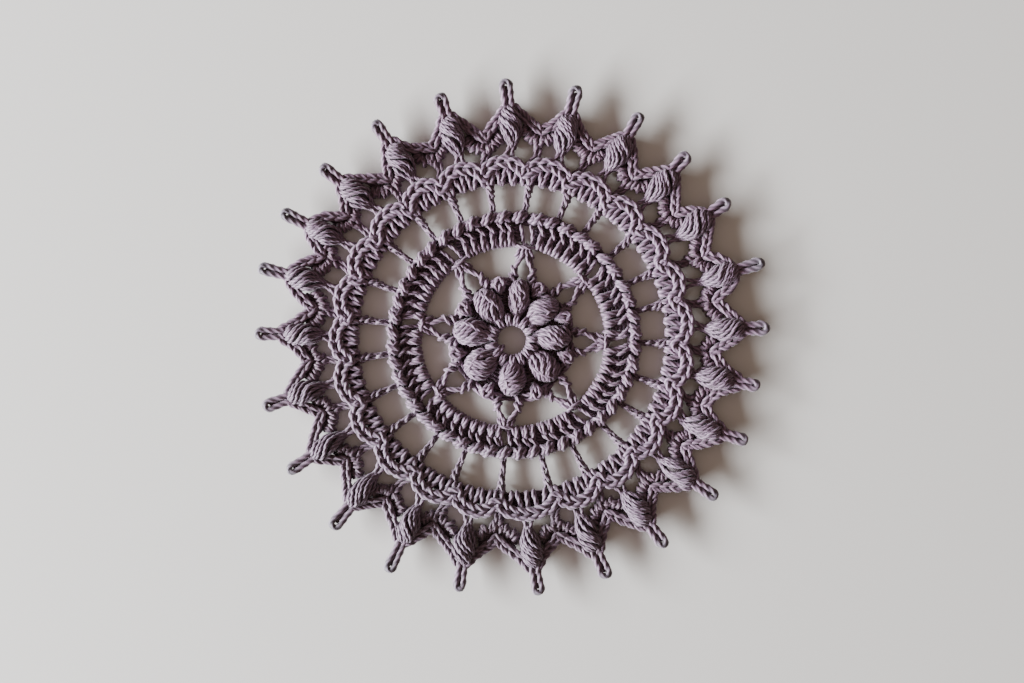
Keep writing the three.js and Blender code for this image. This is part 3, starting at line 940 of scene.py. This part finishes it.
class Nodes:
    """Makes and joins the nodes of one material."""

    def __init__(self, material):
        material.use_nodes = True
        self.nodes = material.node_tree.nodes
        self.links = material.node_tree.links
        self.nodes.clear()

    def make(self, kind, inputs=(), **settings):
        """A node with its settings, and with its inputs given by name or number."""
        made = self.nodes.new(kind)
        for key, value in settings.items():
            setattr(made, key, value)
        for key, value in dict(inputs).items():
            if isinstance(value, bpy.types.NodeSocket):
                self.links.new(value, made.inputs[key])
            else:
                made.inputs[key].default_value = value
        return made

    def math(self, operation, *values):
        return self.make("ShaderNodeMath", enumerate(values), operation=operation).outputs[0]

    def mixed(self, share, first, second, mode="MIX"):
        inputs = {0: share, 6: first, 7: second}
        return self.make("ShaderNodeMix", inputs, data_type="RGBA", blend_type=mode).outputs[2]

    def attribute(self, name):
        return self.make("ShaderNodeAttribute", attribute_name=name).outputs["Fac"]


def yarn_material(name):
    """Plied cotton: painted shade between the plies, with fine slanting fibres, heathered from
    grey-lilac to mauve by each strand's tone, and grey towards the tips. The tone and the dark
    attribute also carry painted shade, and the grey a painted tint of the window light."""
    material = bpy.data.materials.new(name)
    nodes = Nodes(material)
    yarn_map = nodes.make("ShaderNodeUVMap", uv_map="Yarn").outputs[0]
    split = nodes.make("ShaderNodeSeparateXYZ", {0: yarn_map})
    around, along = split.outputs[0], split.outputs[1]
    ply_wave = nodes.math("COSINE", nodes.math("MULTIPLY", around, 2 * math.pi * PLIES))
    ply = nodes.math("MULTIPLY_ADD", ply_wave, 0.5, 0.5)
    slant = nodes.math("MULTIPLY_ADD", along, 14.0, nodes.math("MULTIPLY", around, 22.0))
    cross = nodes.math("MULTIPLY_ADD", along, 5.0, nodes.math("MULTIPLY", around, -9.0))
    cross = nodes.math("MULTIPLY", cross, 0.25)
    fibre_place = nodes.make("ShaderNodeCombineXYZ", {0: slant, 1: cross}).outputs[0]
    fibre_inputs = {"Scale": 1.6, "Detail": 3.0, "Vector": fibre_place}
    fibres = nodes.make("ShaderNodeTexNoise", fibre_inputs).outputs["Fac"]
    place = nodes.make("ShaderNodeTexCoord").outputs["Object"]
    cloud_inputs = {"Scale": 60.0, "Detail": 2.0, "Vector": place}
    clouds = nodes.make("ShaderNodeTexNoise", cloud_inputs).outputs["Fac"]

    strand_tone = nodes.math("SUBTRACT", nodes.attribute("tone"), 0.4)
    tone = nodes.math("MULTIPLY_ADD", clouds, 0.9, strand_tone)
    tone = nodes.math("MAXIMUM", nodes.math("MINIMUM", tone, 1.0), 0.0)
    colour = nodes.mixed(tone, LIGHT_YARN, DARK_YARN_AND_SHADE)
    colour = nodes.mixed(nodes.attribute("grey"), colour, GREY_TIPS_AND_WINDOW_TINT)
    # Painted shade: the dark attribute darkens strand ends, deep yarn and the cores.
    colour = nodes.mixed(nodes.attribute("dark"), colour, DEEP_SHADE)
    # Painted shade in the grooves between the plies.
    painted_ply_shade = nodes.math("MULTIPLY_ADD", ply, 0.75, 0.45)
    streak = nodes.math("MULTIPLY_ADD", fibres, 1.2, 0.4)
    level = nodes.math("MULTIPLY", painted_ply_shade, streak)
    shade = nodes.make("ShaderNodeCombineColor", {0: level, 1: level, 2: level}).outputs[0]
    colour = nodes.mixed(1.0, colour, shade, "MULTIPLY")

    height = nodes.math("MULTIPLY_ADD", fibres, 0.5, ply)
    bump_inputs = {"Strength": 0.5, "Distance": 0.00025, "Height": height}
    bump = nodes.make("ShaderNodeBump", bump_inputs).outputs[0]
    finish = {
        "Base Color": colour,
        "Normal": bump,
        "Roughness": 0.5,
        "Specular IOR Level": 0.35,
        "Sheen Weight": 0.25,
        "Sheen Roughness": 0.5,
    }
    shader = nodes.make("ShaderNodeBsdfPrincipled", finish).outputs[0]
    nodes.make("ShaderNodeOutputMaterial", {0: shader})
    return material


def set_float(mesh, name, values):
    values = np.asarray(values, np.float32)
    mesh.attributes.new(name, "FLOAT", "POINT").data.foreach_set("value", values)


def grey_tips_and_window_tint(places):
    """How grey each point is: most at the picots' tips, and a little at the lower left as painted
    window light.
    """
    radius = np.linalg.norm(places[:, :2], axis=1)
    turn = np.arctan2(places[:, 0], places[:, 1])
    tip, side = (np.clip((radius - row["from"]) / row["over"], 0, 1) for row in (TIP_GREY, WINDOW_TINT_GREY))
    side_on = np.clip(np.cos(turn - math.radians(WINDOW_TINT_GREY["turn"])), 0, 1)
    return np.maximum(tip * TIP_GREY["most"], WINDOW_TINT_GREY["most"] * side_on * side)


def mesh_of(name, places, quads, triangles, maps, tones, darks):
    """One mesh in metres from arrays of points and faces in millimetres."""
    mesh = bpy.data.meshes.new(name)
    mesh.vertices.add(len(places))
    mesh.vertices.foreach_set("co", ((places + ROW_SHIFT) * MM).astype(np.float32).ravel())
    corners = np.concatenate([quads.ravel(), triangles.ravel()]).astype(np.int32)
    mesh.loops.add(len(corners))
    mesh.loops.foreach_set("vertex_index", corners)
    counts = np.concatenate([np.full(len(quads), 4), np.full(len(triangles), 3)])
    mesh.polygons.add(len(counts))
    starts = np.concatenate([[0], np.cumsum(counts)[:-1]]).astype(np.int32)
    mesh.polygons.foreach_set("loop_start", starts)
    mesh.polygons.foreach_set("use_smooth", np.ones(len(counts), bool))
    for map_name, values in maps.items():
        layer = mesh.uv_layers.new(name=map_name)
        layer.uv.foreach_set("vector", values.astype(np.float32).ravel())
    set_float(mesh, "tone", tones)
    set_float(mesh, "grey", grey_tips_and_window_tint(places))
    set_float(mesh, "dark", darks)
    mesh.update(calc_edges=True)
    mesh.validate()
    return mesh


def dress(mesh, material):
    """The mesh as a piece of the doily."""
    piece = bpy.data.objects.new(mesh.name, mesh)
    bpy.context.scene.collection.objects.link(piece)
    mesh.materials.append(material)
    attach(piece, "root")
    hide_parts("doily")
    return piece


def piece_of(skein, relief, material):
    """A skein's strands as one piece, with painted shade where they lie deep in the doily."""
    places, quads, ends, quad_maps, end_maps, tones, darks = tubes(skein.strands)
    places, darks = np.concatenate(places), np.concatenate(darks)
    # Painted shade, deeper inside the doily's relief.
    deep = np.clip((relief.depth(places) - SUNK_SHADE["from"]) / SUNK_SHADE["over"], 0, 1)
    maps = {}
    for i, name in enumerate(("Yarn", "OFBake")):
        maps[name] = np.concatenate([pair[i] for pair in quad_maps + end_maps])
    quads, ends, tones = np.concatenate(quads), np.concatenate(ends), np.concatenate(tones)
    darks = np.maximum(darks, SUNK_SHADE["most"] * deep)
    return dress(mesh_of(skein.name, places, quads, ends, maps, tones, darks), material)


def core_piece(material):
    """The fills of all puffs and petals as one piece, painted dark as the shade inside them."""
    places, faces = cores()
    mesh = bpy.data.meshes.new("cores")
    points = (np.array(places) + ROW_SHIFT) * MM
    mesh.from_pydata([tuple(p) for p in points], [], faces)
    mesh.uv_layers.new(name="Yarn")
    # Painted shade: the cores take the darkest tone and much of the deep shade.
    for name, value in (("tone", 1.0), ("grey", 0.0), ("dark", 0.8)):
        set_float(mesh, name, np.full(len(places), value))
    mesh.polygons.foreach_set("use_smooth", np.ones(len(faces), bool))
    mesh.update()
    return dress(mesh, material)


def rounds():
    """The tall ring and the scalloped band, which carry the rest, and the band's braid."""
    skein, braid = Skein("rounds", seed=15), Skein("band_braid", seed=18)
    tall_ring(skein)
    band(skein, braid)
    return skein, braid


def table():
    """The plain pale floor."""
    mesh = bpy.data.meshes.new("table")
    half = TABLE["size"] / 2
    corners = [(-half, -half, 0), (half, -half, 0), (half, half, 0), (-half, half, 0)]
    mesh.from_pydata(corners, [], [(0, 1, 2, 3)])
    floor = bpy.data.objects.new("table", mesh)
    bpy.context.scene.collection.objects.link(floor)
    material = bpy.data.materials.new("pale_table")
    material.use_nodes = True
    shader = material.node_tree.nodes["Principled BSDF"]
    shader.inputs["Base Color"].default_value = TABLE["colour"]
    shader.inputs["Roughness"].default_value = TABLE["roughness"]
    mesh.materials.append(material)
    floor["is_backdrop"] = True


def camera():
    """Straight above, at the photograph's angle."""
    data = bpy.data.cameras.new("camera")
    data.lens = CAMERA["lens"]
    data.sensor_width = CAMERA["sensor"]
    item = bpy.data.objects.new("camera", data)
    item.location = CAMERA["place"]
    bpy.context.scene.collection.objects.link(item)
    bpy.context.scene.camera = item


def lighting():
    """A cool window low on the left, turned to the doily, and the warm dimmer room round it."""
    data = bpy.data.lights.new("window", "AREA")
    data.shape = "RECTANGLE"
    data.size, data.size_y = WINDOW["size"]
    data.energy = WINDOW["power"]
    data.color = WINDOW["colour"]
    item = bpy.data.objects.new("window", data)
    item.location = WINDOW["place"]
    item.rotation_euler = (-Vector(WINDOW["place"])).to_track_quat("-Z", "Y").to_euler()
    bpy.context.scene.collection.objects.link(item)
    world = bpy.data.worlds.new("room")
    world.use_nodes = True
    background = world.node_tree.nodes["Background"]
    background.inputs["Color"].default_value = ROOM["colour"]
    background.inputs["Strength"].default_value = ROOM["strength"]
    bpy.context.scene.world = world


def write_sizes():
    """Gathers the CAD model's box and the visual model's, in metres, as plain lists."""
    boxes = {"cad": CAD_BOX, "visual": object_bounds()}
    plain = {name: [list(corner) for corner in box] for name, box in boxes.items()}


def main():
    camera()
    lighting()
    table()
    yarn = yarn_material("cotton_yarn")
    inner = (collar(), middle_coils(), petals(), petal_knots(), arms(), ridge(), bars())
    outer = (stems(), puffs(), valley_knots(), edge_braid(), picots())
    skeins = [*rounds(), *inner, *outer]
    relief = Relief(skeins)
    ground, *others = (piece_of(skein, relief, yarn) for skein in skeins)
    others.append(core_piece(yarn))
    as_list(others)


main()
write_sizes()
